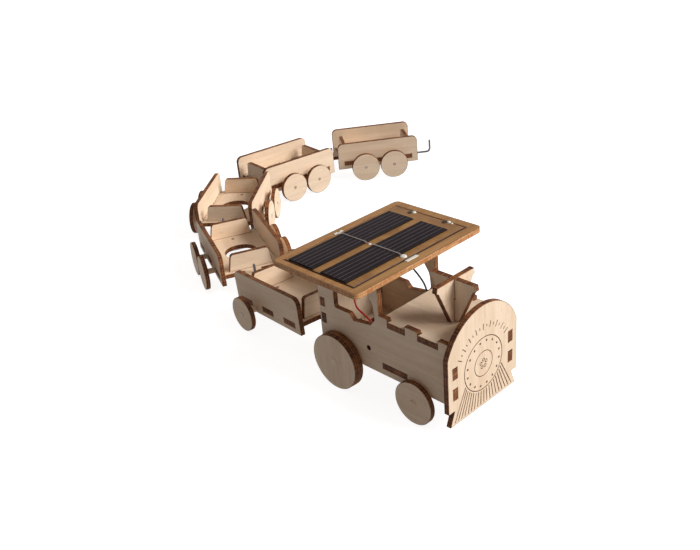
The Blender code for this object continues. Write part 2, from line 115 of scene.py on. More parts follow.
# Wagons: the origin of a wagon's frame is on the ground under its middle
TONGUE = 51.6                # from the middle to the hole in the tongue
REACH = 66.0                 # from the middle to the upright of the hook
LAST_HOOK = (67.8, 4.0)      # reach and bend of the last wagon's free hook
WAGON_HALF = 47.0            # half a side panel's length
WAGON_SIDE_Y = 28.0          # middle of a side panel
WAGON_BOTTOM, WAGON_TOP = (corner.z for corner in size("wagon_2_side_right"))
WAGON_FLOOR = tuple(corner.z for corner in size("wagon_2_floor"))
WAGON_AXLE = 16.7            # from the middle to each axle
WAGON_WHEEL = size("wagon_2_rear_wheelset")[1].z / 2
WAGON_WHEEL_Y = 40.0         # middle of a wheel
END_PANEL = 37.8             # middle of an end panel
END_TOP = size("wagon_2_end_front")[1].z
HOOK_ROOT = -30.0            # where a wagon's hook enters its floor
FLOOR_TABS = ((-39.7, -24.3), (-7.7, 7.7), (24.3, 39.7))     # rear and front of each side tab

# The first wagon has one axle and taller panels, and leans back from the locomotive's hook
TENDER_PITCH = 4.0           # in degrees
TENDER_AXLE = -19.6
TENDER_WHEEL_Y = 41.8        # middle of a wheel
TENDER_RISE = 1.4            # by which its panels are taller


# ---------------------------------------------------------------- outlines
def arc(centre, radius, start, stop, steps):
    """Points on a circle, from one angle to another in degrees, both ends included."""
    points = []
    for i in range(steps + 1):
        angle = math.radians(start + (stop - start) * i / steps)
        points.append((centre[0] + radius * math.cos(angle), centre[1] + radius * math.sin(angle)))
    return points


def circle(centre, radius, steps):
    """A closed round outline."""
    return arc(centre, radius, 0, 360, steps)[:-1]


def box(low_x, low_y, high_x, high_y):
    """A closed rectangular outline."""
    return [(low_x, low_y), (high_x, low_y), (high_x, high_y), (low_x, high_y)]


def filleted(corners, steps=6, closed=True):
    """Round each corner (point, radius) of an outline or a path; the points may be 2D or 3D."""
    points = []
    count = len(corners)
    for i, (corner, radius) in enumerate(corners):
        here = Vector(corner)
        if radius == 0 or (not closed and i in (0, count - 1)):
            points.append(tuple(here))
            continue
        back = (Vector(corners[i - 1][0]) - here).normalized()
        ahead = (Vector(corners[(i + 1) % count][0]) - here).normalized()
        half = back.angle(ahead) / 2
        middle = here + (back + ahead).normalized() * (radius / math.sin(half))
        from_middle = here + back * (radius / math.tan(half)) - middle
        to_middle = here + ahead * (radius / math.tan(half)) - middle
        sweep = math.pi - 2 * half
        for step in range(steps + 1):
            turn = sweep * step / steps
            spoke = from_middle * math.sin(sweep - turn) + to_middle * math.sin(turn)
            points.append(tuple(middle + spoke / math.sin(sweep)))
    return points


def both_sides(half):
    """Close a half outline, given from bottom to top at positive x, with its mirror image."""
    return list(half) + [(-x, y) for x, y in reversed(half)]


def mirrored(lower):
    """Close a lower edge, given from rear to front, with its mirror image across the X axis."""
    return lower + [(x, -y) for x, y in reversed(lower)]


def tabbed_edge(start, end, tabs, wide, outer):
    """Lower edge of a level panel, at -wide, with tabs that reach out to -outer."""
    edge = [(start, -wide)]
    for low, high in tabs:
        edge += [(low, -wide), (low, -outer), (high, -outer), (high, -wide)]
    return [*edge, (end, -wide)]


def wound(ring, anticlockwise):
    """The ring as Vectors, running the way asked."""
    ring = [Vector(point[:2]) for point in ring]
    area = sum(a.x * b.y - b.x * a.y for a, b in zip(ring, ring[1:] + ring[:1]))
    return ring if (area > 0) == anticlockwise else ring[::-1]


def moved_in(ring, distance):
    """The ring with each side moved to its left by a distance, corners mitred."""
    points = []
    for before, here, after in zip(ring[-1:] + ring[:-1], ring, ring[1:] + ring[:1]):
        first = (here - before).normalized()
        second = (after - here).normalized()
        normal_1, normal_2 = Vector((-first.y, first.x)), Vector((-second.y, second.x))
        points.append(here + (normal_1 + normal_2) * (distance / (1 + normal_1.dot(normal_2))))
    return points


# ---------------------------------------------------------------- materials
def greys(low, high):
    """Stops of a ramp from black to white."""
    return [(low, (0, 0, 0, 1)), (high, (1, 1, 1, 1))]


def darker(color, share):
    """The colour at a share of its brightness."""
    return tuple(c * share for c in color[:3]) + (1.0,)


def tint(red, green, blue):
    """Linear colour from eight-bit screen values."""
    linear = []
    for value in (red, green, blue):
        share = value / 255
        linear.append(share / 12.92 if share <= 0.04045 else ((share + 0.055) / 1.055) ** 2.4)
    return (*linear, 1.0)


class Graph:
    """A material whose nodes are added one call at a time."""

    def __init__(self, name, roughness, **constants):
        self.material = bpy.data.materials.new(name)
        self.material.use_nodes = True
        self.tree = self.material.node_tree
        self.shader = self.tree.nodes["Principled BSDF"]
        self.feed(self.shader, "Roughness", roughness)
        for key, value in constants.items():
            self.feed(self.shader, key.replace("_", " "), value)

    def feed(self, node, key, value):
        """Link a socket, or set it to a constant."""
        if isinstance(value, bpy.types.NodeSocket):
            self.tree.links.new(value, node.inputs[key])
        else:
            node.inputs[key].default_value = value

    def add(self, kind, inputs=(), **settings):
        """A new node with its settings and inputs."""
        node = self.tree.nodes.new("ShaderNode" + kind)
        for key, value in settings.items():
            setattr(node, key, value)
        for key, value in dict(inputs).items():
            self.feed(node, key, value)
        return node

    def maths(self, operation, first, second=0.0, clamp=False):
        """A Math node's output."""
        return self.add("Math", {0: first, 1: second}, operation=operation, use_clamp=clamp).outputs[0]

    def ramp(self, value, stops, interpolation="LINEAR"):
        """A colour ramp with (position, colour) stops."""
        node = self.add("ValToRGB", {"Fac": value})
        node.color_ramp.interpolation = interpolation
        elements = node.color_ramp.elements
        while len(elements) < len(stops):
            elements.new(1.0)
        for element, (position, color) in zip(elements, stops):
            element.position = position
            element.color = color
        return node.outputs["Color"]

    def mix(self, share, first, second):
        """Two colours mixed."""
        node = self.add("Mix", data_type="RGBA")
        for index, value in ((0, share), (6, first), (7, second)):
            self.feed(node, index, value)
        return node.outputs[2]

    def blend(self, first, share, second):
        """A share of one value and the rest of another."""
        rest = self.maths("MULTIPLY", second, 1 - share)
        return self.maths("ADD", self.maths("MULTIPLY", first, share), rest)

    def scorch_and_shade_rim(self):
        """How dark a sheet's rim is: 1 at a cut edge, 0 further in; scorch on plywood, painted shade on the
        amber board.
        """
        return self.add("Attribute", attribute_name="scorch_and_shade").outputs["Fac"]

    def place(self):
        """Coordinates in the piece's own frame, shifted differently on every piece."""
        own = self.add("TexCoord").outputs["Object"]
        shift = self.maths("MULTIPLY", self.add("ObjectInfo").outputs["Random"], 7.3)
        return self.add("VectorMath", {0: own, 1: shift}, operation="ADD").outputs[0]

    def noise(self, place, scale, detail, roughness=0.55, distortion=0.0):
        """Noise stretched by a scale along each axis, per metre."""
        stretched = self.add("VectorMath", {0: place, 1: scale}, operation="MULTIPLY").outputs[0]
        return self.add("TexNoise", {"Vector": stretched, "Scale": 1.0, "Detail": detail,
                                     "Roughness": roughness, "Distortion": distortion}).outputs["Fac"]

    def bump(self, height, strength, distance):
        """Relief from a height; the distance is in metres."""
        node = self.add("Bump", {"Height": height, "Strength": strength, "Distance": distance})
        self.feed(self.shader, "Normal", node.outputs["Normal"])


def along(grain, long, across):
    """Scales for a texture that runs along X or Y."""
    return (long, across, across) if grain == "X" else (across, long, across)


def wood_face(name, grain, pale, dark, burnt, gloss=0.0):
    """Rotary-cut birch veneer: soft bands, fine fibres, short flecks, and a scorched rim."""
    graph = Graph(name, 0.6, Specular_IOR_Level=0.35, Coat_Weight=gloss, Coat_Roughness=0.25)
    place = graph.place()
    bands = graph.noise(place, along(grain, 9, 120), 2.0, 0.5, 1.2)
    fibres = graph.noise(place, along(grain, 60, 1900), 4.0, 0.65)
    cloud = graph.noise(place, (55, 55, 55), 2.0)
    flecks = graph.noise(place, along(grain, 260, 2600), 1.0, 0.4)
    share = graph.ramp(graph.blend(bands, 0.55, fibres), greys(0.36, 0.64))
    wood = graph.mix(share, dark, pale)
    spots = graph.ramp(flecks, greys(0.66, 0.78))
    spotted = graph.mix(graph.maths("MULTIPLY", spots, 0.35), wood, burnt)
    smoke = graph.maths("MULTIPLY", graph.ramp(cloud, greys(0.42, 0.75)), 0.22)
    tone = graph.mix(smoke, spotted, dark)
    uneven = graph.noise(place, (420, 420, 420), 2.0)
    ragged = graph.maths("MULTIPLY", graph.maths("SUBTRACT", uneven, 0.5), 0.5)
    reach = graph.maths("ADD", graph.scorch_and_shade_rim(), ragged)
    scorched = graph.ramp(reach, greys(0.38, 0.95))
    graph.feed(graph.shader, "Base Color", graph.mix(scorched, tone, burnt))
    graph.bump(graph.maths("ADD", fibres, graph.maths("MULTIPLY", spots, -0.6)), 0.25, 0.00012)
    return graph.material


def wood_edge(name, char, dark, light):
    """Laser-cut edge: five plies across the thickness under uneven charring."""
    graph = Graph(name, 0.75, Specular_IOR_Level=0.25)
    own = graph.add("TexCoord").outputs["Object"]
    place = graph.place()
    height = graph.add("SeparateXYZ", {"Vector": own}).outputs["Z"]
    wander = graph.maths("MULTIPLY", graph.noise(place, (90, 90, 20), 1.0), 0.0006)
    layer = graph.maths("MULTIPLY", graph.maths("ADD", height, wander), 1 / (PLY * MM))
    across = graph.maths("ADD", layer, 0.42, clamp=True)
    plies = graph.ramp(across, [(0.0, light), (0.2, dark), (0.4, light), (0.6, dark), (0.8, light)],
                       "CONSTANT")
    streaks = graph.noise(place, (900, 900, 90), 3.0, 0.6)
    patches = graph.noise(place, (70, 70, 70), 2.0)
    share = graph.ramp(graph.blend(streaks, 0.6, patches), greys(0.36, 0.60))
    graph.feed(graph.shader, "Base Color", graph.mix(share, plies, char))
    graph.bump(streaks, 0.5, 0.00015)
    return graph.material


def metal(name, color, roughness, streak=(700, 700, 700)):
    """Bare metal with fine drawing marks."""
    graph = Graph(name, 0.3, Metallic=1.0)
    place = graph.place()
    marks = graph.noise(place, streak, 3.0, 0.6)
    dull = graph.maths("ADD", roughness - 0.1, graph.maths("MULTIPLY", marks, 0.2))
    graph.feed(graph.shader, "Roughness", dull)
    share = graph.ramp(marks, greys(0.35, 0.7))
    graph.feed(graph.shader, "Base Color", graph.mix(share, color, darker(color, 0.72)))
    graph.bump(marks, 0.08, 0.00005)
    return graph.material


def moulded(name, color, roughness, sheen=0.0):
    """Moulded plastic or rubber: a fine grain and slight unevenness of tone."""
    graph = Graph(name, roughness, Sheen_Weight=sheen)
    place = graph.place()
    grain = graph.noise(place, (1600, 1600, 1600), 2.0)
    cloud = graph.noise(place, (120, 120, 120), 2.0)
    graph.feed(graph.shader, "Base Color", graph.mix(cloud, darker(color, 0.8), color))
    graph.bump(grain, 0.12, 0.00006)
    return graph.material


def amber_board():
    """Amber laminate under the cells: cloudy resin over a faint weave, its rim darkened brown as painted
    shade for the gap round it.
    """
    graph = Graph("amber_board", 0.42, Coat_Weight=0.25, Coat_Roughness=0.15)
    place = graph.place()
    cloud = graph.noise(place, (45, 45, 45), 3.0, 0.6)
    weave = graph.noise(place, (150, 1500, 400), 2.0)
    stops = [(0.35, tint(124, 84, 42)), (0.55, tint(154, 110, 60)), (0.72, tint(180, 136, 78))]
    color = graph.ramp(graph.blend(cloud, 0.7, weave), stops)
    # Painted shade: the rim darkens to dark brown, standing in for the shadow in the gap round the module.
    painted_gap_shade = graph.ramp(graph.scorch_and_shade_rim(), greys(0.2, 0.9))
    graph.feed(graph.shader, "Base Color", graph.mix(painted_gap_shade, color, tint(66, 38, 20)))
    graph.bump(weave, 0.15, 0.0001)
    return graph.material


def silicon():
    """A solar cell: near black with a violet cast and faint bands across it."""
    graph = Graph("silicon", 0.45, Specular_IOR_Level=0.12)
    place = graph.place()
    cloud = graph.noise(place, (60, 20, 60), 2.0)
    fine = graph.noise(place, (2400, 40, 100), 2.0)
    stops = [(0.35, tint(14, 6, 6)), (0.55, tint(26, 15, 16)), (0.7, tint(40, 26, 31))]
    graph.feed(graph.shader, "Base Color", graph.ramp(graph.blend(cloud, 0.6, fine), stops))
    graph.bump(fine, 0.06, 0.00005)
    return graph.material


PALE = tint(232, 210, 186)
PALE_DARK = tint(214, 188, 160)
BURNT = tint(92, 52, 30)
EDGE = wood_edge("ply_edge", tint(68, 33, 17), tint(112, 60, 32), tint(178, 120, 70))
FINISHES = {
    "ply_x": [wood_face("ply_face_x", "X", PALE, PALE_DARK, BURNT), EDGE],
    "ply_y": [wood_face("ply_face_y", "Y", PALE, PALE_DARK, BURNT), EDGE],
    "roof": [wood_face("ply_roof", "Y", tint(172, 128, 78), tint(138, 96, 52), tint(60, 34, 18), 0.2),
             wood_edge("roof_edge", tint(164, 106, 60), tint(192, 140, 92), tint(218, 176, 130))],
    "engraved": [moulded("engraved_wood", tint(104, 64, 38), 0.8)],
    "amber": [amber_board()],
    "silicon": [silicon()],
    "finger": [moulded("printed_silver", tint(92, 82, 100), 0.45)],
    "tin": [moulded("tinned_copper", tint(226, 222, 212), 0.3)],
    "ribbon": [moulded("dull_ribbon", tint(138, 130, 128), 0.4)],
    "wire": [metal("steel_wire", tint(116, 118, 122), 0.4)],
    "axle": [metal("axle_steel", tint(176, 172, 166), 0.35)],
    "can": [metal("motor_can", tint(172, 172, 172), 0.3, (60, 60, 1500))],
    "brass": [metal("brass", tint(205, 170, 96), 0.3)],
    "nylon": [moulded("nylon", tint(226, 222, 208), 0.5)],
    "rubber": [moulded("rubber", tint(34, 33, 33), 0.75, 0.2)],
    "red": [moulded("red_insulation", tint(196, 30, 24), 0.42)],
    "black": [moulded("black_insulation", tint(28, 27, 28), 0.42)],
}


# ---------------------------------------------------------------- meshes
def mesh_from(shape, name):
    """Finish a bmesh: faces out, smooth but for its corners."""
    bmesh.ops.recalc_face_normals(shape, faces=shape.faces)
    mesh = bpy.data.meshes.new(name)
    shape.to_mesh(mesh)
    shape.free()
    mesh.transform(Matrix.Scale(MM, 4))
    mesh.shade_smooth()
    mesh.set_sharp_from_angle(angle=math.radians(38))
    return mesh


def sheet_from(rings):
    """A flat solid from closed rings, each with its (inset, height, darkening) levels from the top down.

    The float attribute fades from a cut inwards; materials darken by it, as scorch on plywood and as painted
    shade on the amber board. Level faces take the first material, walls the second.
    """
    shape = bmesh.new()
    scorch_and_shade = shape.verts.layers.float.new("scorch_and_shade")
    top, bottom = [], []
    for ring, levels in rings:
        loops = []
        for inset, height, value in levels:
            loop = [shape.verts.new((*point, height)) for point in moved_in(ring, inset)]
            for vert in loop:
                vert[scorch_and_shade] = value
            loops.append(loop)
        heights = [height for _, height, _ in levels]
        for high, low, upper, lower in zip(heights, heights[1:], loops, loops[1:]):
            for i in range(len(ring)):
                j = (i + 1) % len(ring)
                face = shape.faces.new((upper[i], lower[i], lower[j], upper[j]))
                face.material_index = 0 if high == low else 1
        for edges, loop in ((top, loops[0]), (bottom, loops[-1])):
            edges += [shape.edges.get((loop[i - 1], loop[i])) for i in range(len(loop))]
    for edges in (top, bottom):
        filled = bmesh.ops.triangle_fill(shape, use_beauty=True, use_dissolve=False, edges=edges)
        for face in filled["geom"]:
            if isinstance(face, bmesh.types.BMFace):
                face.material_index = 0
    bmesh.ops.remove_doubles(shape, verts=shape.verts, dist=WELD)
    return mesh_from(shape, "sheet")


def cut_sheet(outline, holes=(), thickness=PLY, arris=(ARRIS, ARRIS), scorch_and_shade_width=SCORCH):
    """A piece cut from sheet, flat in its own XY plane; arris is the rounding above and below. Its rim is
    darkened over the last given width: scorch on plywood, painted shade on the amber board.
    """
    above, below = arris
    half = thickness / 2
    levels = [(above + scorch_and_shade_width, half, 0.0), (above, half, 1.0), (0, half - above, 1.0),
              (0, below - half, 1.0), (below, -half, 1.0), (below + scorch_and_shade_width, -half, 0.0)]
    rings = [wound(outline, True)] + [wound(hole, False) for hole in holes]
    return sheet_from([(ring, levels) for ring in rings])


def lathe(profile, steps):
    """A turned piece round its own Z axis from (radius, height) points."""
    shape = bmesh.new()
    verts = [shape.verts.new((r, 0, z)) for r, z in profile]
    edges = [shape.edges.new(pair) for pair in zip(verts, verts[1:])]
    bmesh.ops.spin(shape, geom=verts + edges, cent=(0, 0, 0), axis=(0, 0, 1),
                   angle=2 * math.pi, steps=steps, use_merge=True)
    bmesh.ops.remove_doubles(shape, verts=shape.verts, dist=WELD)
    return mesh_from(shape, "turned")


def wire(points, radius, cyclic=False):
    """A round wire along points in millimetres, its ends slightly rounded unless it is a loop."""
    curve = bpy.data.curves.new("wire", "CURVE")
    curve.dimensions = "3D"
    curve.bevel_depth = radius * MM
    curve.bevel_resolution = 3
    curve.use_fill_caps = True
    points = [Vector(point) for point in points]
    shares = [1.0] * len(points)
    if not cyclic:
        tip = 0.62
        first = points[0] + (points[1] - points[0]).normalized() * radius * 0.5
        last = points[-1] + (points[-2] - points[-1]).normalized() * radius * 0.5
        points = [points[0], first, *points[1:-1], last, points[-1]]
        shares = [tip, 1.0, *shares[1:-1], 1.0, tip]
    spline = curve.splines.new("POLY")
    spline.points.add(len(points) - 1)
    for knot, point, share in zip(spline.points, points, shares):
        knot.co = (*(point * MM), 1)
        knot.radius = share
    spline.use_cyclic_u = cyclic
    return curve


def upright_along_x(y=0.0):
    """Stand a sheet in the XZ plane, its own Y axis upwards, its middle at this y."""
    turn = Matrix(((1, 0, 0), (0, 0, -1), (0, 1, 0))).to_4x4()
    return Matrix.Translation((0, y * MM, 0)) @ turn


def upright_along_y(x=0.0):
    """Stand a sheet in the YZ plane, its own X axis along Y, its middle at this x."""
    turn = Matrix(((0, 0, 1), (1, 0, 0), (0, 1, 0))).to_4x4()
    return Matrix.Translation((x * MM, 0, 0)) @ turn


def lying(low, high):
    """Lay a sheet level between two heights."""
    return Matrix.Translation((0, 0, (low + high) / 2 * MM))


def shift(x=0.0, y=0.0, z=0.0):
    """Move by millimetres."""
    return Matrix.Translation((x * MM, y * MM, z * MM))


def piece(name, data, finish, matrix, body, *replaced):
    """Put a finished piece in place on its body, standing for CAD nodes if any are named."""
    made = bpy.data.objects.new(name, data)
    made.matrix_world = matrix
    for material in FINISHES[finish]:
        data.materials.append(material)
    if isinstance(data, bpy.types.Mesh) and len(FINISHES[finish]) == 1:
        data.polygons.foreach_set("material_index", [0] * len(data.polygons))
    bpy.context.scene.collection.objects.link(made)
    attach(made, body)
    if replaced:
        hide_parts(*replaced)


def slab(name, outline, finish, low, high, *replaced, holes=(), arris=(ARRIS, ARRIS), scorch_and_shade_width=SCORCH):
    """A level sheet of the locomotive, filling the space between two heights."""
    sheet = cut_sheet(outline, holes, high - low, arris, scorch_and_shade_width)
    piece(name, sheet, finish, LOCO @ lying(low, high), "loco", *replaced)


# ---------------------------------------------------------------- locomotive panels
PLATE_SLOTS = ((30.2, 39.0), (46.5, 55.2))     # lowest and highest z
WALL_SLOTS = ((46.0, 54.0), (60.0, 67.0))      # lowest and highest z
FLOOR_SLOT = ((-64.5, 29.2), (-41.5, 33.8))    # two corners in (x, z)
DECK_TABS = ((-57.2, -41.8), (-29.7, -12.8))   # rear and front x
AXLE_LUG = 6.0                                 # radius of the lug round each axle
SHAFT_HOLE = 1.8
SMOKEBOX = Vector((0.0, 43.7))                 # its middle, in (y, z) of the front plate
VENEER = 0.3                                   # depth of the engraving
FILM = 0.02                                    # thickness of the brown layer under it


def side_panels():
    """Both side panels in (x, z)."""
    outline = [(-PLY - GAP, SIDE_BOTTOM)]
    for x, z in (FRONT_AXLE, REAR_AXLE):
        lug = arc((x, z), AXLE_LUG, 0, -180, 16)
        outline += [(x + AXLE_LUG, SIDE_BOTTOM), *lug, (x - AXLE_LUG, SIDE_BOTTOM)]
    outline += [(SIDE_REAR, SIDE_BOTTOM), (SIDE_REAR, SIDE_TOP)]
    outline += [(POST_FRONT, SIDE_TOP), (POST_FRONT, TOOTH_Z)]
    for tab_rear, tab_front in DECK_TABS:
        rear, front = tab_rear - GAP, tab_front + GAP
        outline += [(rear, TOOTH_Z), (rear, RECESS_Z), (front, RECESS_Z), (front, TOOTH_Z)]
    outline.append((-PLY - GAP, TOOTH_Z))
    for low, high in reversed(PLATE_SLOTS):
        outline += [(-PLY - GAP, high - GAP), (0, high - GAP), (0, low + GAP), (-PLY - GAP, low + GAP)]
    window = filleted([((-74.0, 61.6), 1), ((-69.6, 67.0), 2), ((-70.6, 78), 8), ((-84, 98), 6),
                       ((-110, 98), 10), ((-110, 63.4), 1), ((-95.2, 63.4), 1), ((-91.0, 58.9), 1)])
    holes = [window, box(*FLOOR_SLOT[0], *FLOOR_SLOT[1]), circle(MOTOR, SHAFT_HOLE, 20)]
    for low, high in WALL_SLOTS:
        holes.append(box(WALL_LOW.x - GAP, low, WALL_HIGH.x + GAP, high))
    for centre in (FRONT_AXLE, REAR_AXLE):
        holes.append(circle(centre, LOCO_PIN + AXLE_PLAY, 24))
    for name, y in (("right", -SIDE_Y), ("left", SIDE_Y)):
        panel = cut_sheet(outline, holes)
        piece(f"loco_{name}_panel", panel, "ply_x", LOCO @ upright_along_x(y), "loco", f"loco_side_{name}")


def bar(start, end, width):
    """A straight thin outline from one point to another."""
    start, end = Vector(start), Vector(end)
    side = (end - start).normalized() * width / 2
    side = Vector((-side.y, side.x))
    return [start + side, start - side, end - side, end + side]


def engraving():
    """Closed rings engraved in the front plate: smokebox door, rivets, ray ticks and catcher slats."""
    def spot(radius, degrees):
        """A point at a radius and an angle round the smokebox's middle."""
        angle = math.radians(degrees)
        return SMOKEBOX + Vector((math.cos(angle), math.sin(angle))) * radius

    rings = []
    for radius, line in ((20.3, 0.7), (9.5, 0.6)):
        rings += [circle(SMOKEBOX, radius + line / 2, 72), circle(SMOKEBOX, radius - line / 2, 72)]
    rivets = 16
    rings += [circle(spot(17.2, 360 * (i + 0.5) / rivets), 0.9, 12) for i in range(rivets)]
    petals = 5
    for i in range(petals):
        middle = spot(2.9, 90 + 360 * i / petals)
        rings += [circle(middle, 1.4, 16), circle(middle, 0.8, 16)]
    ticks = 17
    for i in range(ticks):
        angle = 150 - 120 * i / (ticks - 1)
        inner, outer = (26.0, 30.8) if i % 2 == 0 else (27.4, 29.4)
        rings.append(bar(spot(inner, angle), spot(outer, angle), 0.7))
    apex = Vector((0.0, 71.8))   # where all slats point
    bottom, top, pitch = 11.6, 35.5, 3.45
    clear = 21.6                 # how near a slat comes to the smokebox's middle
    for i in range(-9, 10):
        foot = Vector((i * pitch, bottom))
        rise = (apex - foot).normalized()
        reach = (top - bottom) / rise.y
        met = [step / 10 for step in range(400) if (foot + rise * (step / 10) - SMOKEBOX).length < clear]
        rings.append(bar(foot, foot + rise * min([reach, *met]), 0.8))
    return rings


def front_plate():
    """Arched front plate in (y, z): a solid core, and a face veneer pierced by the engraving."""
    wide, shoulder = 37.0, 62.8
    crown_z, crown_radius = 49.2, 39.4
    half = [(35.5, 9.8), (31.0, 21.3), (wide, 21.3), (wide, shoulder)]
    start = math.degrees(math.atan2(shoulder - crown_z, wide))
    crown = arc((0, crown_z), crown_radius, start, 180 - start, 56)
    outline = half + crown + [(-y, z) for y, z in reversed(half)]
    holes = []
    for middle in (-SIDE_Y, SIDE_Y):
        for low, high in PLATE_SLOTS:
            holes.append(box(middle - PLY / 2 - GAP, low, middle + PLY / 2 + GAP, high))
    core = cut_sheet(outline, holes, PLY - VENEER, (0, ARRIS))
    core_at = LOCO @ upright_along_y(-(PLY + VENEER) / 2)
    piece("loco_front_plate_core", core, "ply_y", core_at, "loco", "loco_front_plate")
    veneer_at = LOCO @ upright_along_y(-VENEER / 2)
    piece("loco_front_plate_face", engraved_veneer(outline, holes), "ply_y", veneer_at, "loco")
    smaller, middle_z = 0.97, 49
    inset = [(y * smaller, middle_z + (z - middle_z) * smaller) for y, z in outline]
    wider_holes = [moved_in(wound(hole, False), 0.6) for hole in holes]
    backing = cut_sheet(inset, wider_holes, FILM, (0, 0), 0.2)
    piece("loco_front_plate_burn", backing, "engraved", LOCO @ upright_along_y(FILM - VENEER), "loco")


def engraved_veneer(outline, holes):
    """The front veneer, with the engraved rings cut right through its small depth."""
    half = VENEER / 2
    cut = [(ARRIS + SCORCH, half, 0.0), (ARRIS, half, 1.0), (0, half - ARRIS, 1.0), (0, -half, 1.0)]
    engraved = [(0, half, 0.0), (0, -half, 0.0)]
    rings = [(wound(outline, True), cut)] + [(wound(hole, False), cut) for hole in holes]
    return sheet_from(rings + [(wound(ring, False), engraved) for ring in engraving()])


def loco_floor():
    """Floor in (x, y)."""
    tab = (FLOOR_SLOT[0][0] + GAP, FLOOR_SLOT[1][0] - GAP)
    edge = tabbed_edge(FLOOR_LOW.x, FLOOR_HIGH.x, [tab], SIDE_INNER - GAP, SIDE_OUTER)
    belt_slit = box(-114, BELT_Y - 4, -70, BELT_Y + 4)
    holes = [belt_slit, circle((LOCO_HOOK[0], 0), HOOK_WIRE + 0.1, 20)]
    slab("loco_floor_panel", mirrored(edge), "ply_x", FLOOR_LOW.z, FLOOR_HIGH.z, "loco_floor", holes=holes)


def hood_deck():
    """Level top of the hood in (x, y)."""
    edge = tabbed_edge(DECK_LOW.x, DECK_HIGH.x, DECK_TABS, SIDE_INNER - GAP, SIDE_OUTER)
    slab("loco_hood_panel", mirrored(edge), "ply_x", DECK_LOW.z, DECK_HIGH.z, "loco_hood_deck")


def rear_wall():
    """Cab's rear wall in (y, z)."""
    wide = SIDE_INNER - GAP
    half = [(wide, SIDE_BOTTOM)]
    for low, high in WALL_SLOTS:
        half += [(wide, low + GAP), (SIDE_OUTER, low + GAP), (SIDE_OUTER, high - GAP), (wide, high - GAP)]
    shoulder, shoulder_z = 8, 90
    half += arc((wide - shoulder, shoulder_z), shoulder, 0, 90, 10)
    at = LOCO @ upright_along_y((WALL_LOW.x + WALL_HIGH.x) / 2)
    piece("loco_rear_panel", cut_sheet(both_sides(half)), "ply_y", at, "loco", "loco_rear_wall")


def chimney():
    """Two crossed plates, flaring upwards to small ears."""
    base, top, half_way = CHIMNEY_LOW.z, CHIMNEY_HIGH.z, 86.4
    flare = [(5.5, base), (17.8, 96.4), (19.8, 97.4), (19.0, top)]
    slot = PLY / 2 + GAP
    long_half = [*flare, (slot, top), (slot, half_way)]
    cross_half = [(slot, half_way + GAP), (slot, base), *flare]
    at = LOCO @ shift(CHIMNEY_X)
    plates = (("long", long_half, upright_along_x()), ("cross", cross_half, upright_along_y()))
    for name, half, turn in plates:
        plate = cut_sheet(both_sides(half))
        piece(f"loco_chimney_plate_{name}", plate, "ply_y", at @ turn, "loco", f"loco_chimney_{name}")


# ---------------------------------------------------------------- solar roof
def roof():
    """Roof board with its pocket, the module, cells, printed fingers, ribbon and contacts."""
    corners = [(point, 4) for point in box(ROOF_LOW.x, ROOF_LOW.y, ROOF_HIGH.x, ROOF_HIGH.y)]
    outline = filleted(corners, 8)
    pocket_z = ROOF_HIGH.z - 1.2
    gap = 0.9
    opening = box(MODULE_LOW.x - gap, MODULE_LOW.y - gap, MODULE_HIGH.x + gap, MODULE_HIGH.y + gap)
    slab("loco_roof_lower", outline, "roof", ROOF_LOW.z, pocket_z, "loco_roof_board", arris=(0, ARRIS))
    slab("loco_roof_rim", outline, "roof", pocket_z, ROOF_HIGH.z, holes=[opening],
         arris=(ARRIS, 0), scorch_and_shade_width=0.9)
    module = box(MODULE_LOW.x, MODULE_LOW.y, MODULE_HIGH.x, MODULE_HIGH.y)
    top = MODULE_HIGH.z
    # The board's darkened rim, 0.8 mm wide, is painted shade for the gap between it and the roof.
    slab("loco_module_board", module, "amber", MODULE_LOW.z, top, "loco_solar_module",
         arris=(0.1, 0.1), scorch_and_shade_width=0.8)
    split, half_seam = -6.5, 0.7
    fingers = 5
    margin, half_line, print_depth = 0.8, 0.2, 0.04
    for name in ("rear", "front"):
        low, high = local(f"loco_cell_row_{name}")
        for side, right, left in (("right", low.y, split - half_seam), ("left", split + half_seam, high.y)):
            replaced = [f"loco_cell_row_{name}"] if side == "right" else []
            cell = box(low.x, right, high.x, left)
            slab(f"loco_cell_{name}_{side}", cell, "silicon", top, high.z, *replaced,
                 arris=(0.12, 0), scorch_and_shade_width=0.2)
            for i in range(fingers):
                x = low.x + (high.x - low.x) * (i + 1) / (fingers + 1)
                line = box(x - half_line, right + margin, x + half_line, left - margin)
                slab(f"loco_finger_{name}_{side}_{i + 1}", line, "finger", high.z, high.z + print_depth,
                     arris=(0, 0), scorch_and_shade_width=0.1)
    ribbon_and_contacts(top)


def dome(radius, height):
    """A turned bead: a flat base and a low crown."""
    crown = [(radius * x, height * y) for x, y in arc((0, 0), 1, 0, 90, 8)]
    return lathe([(0, 0), *crown[:-1], (0, height)], 24)


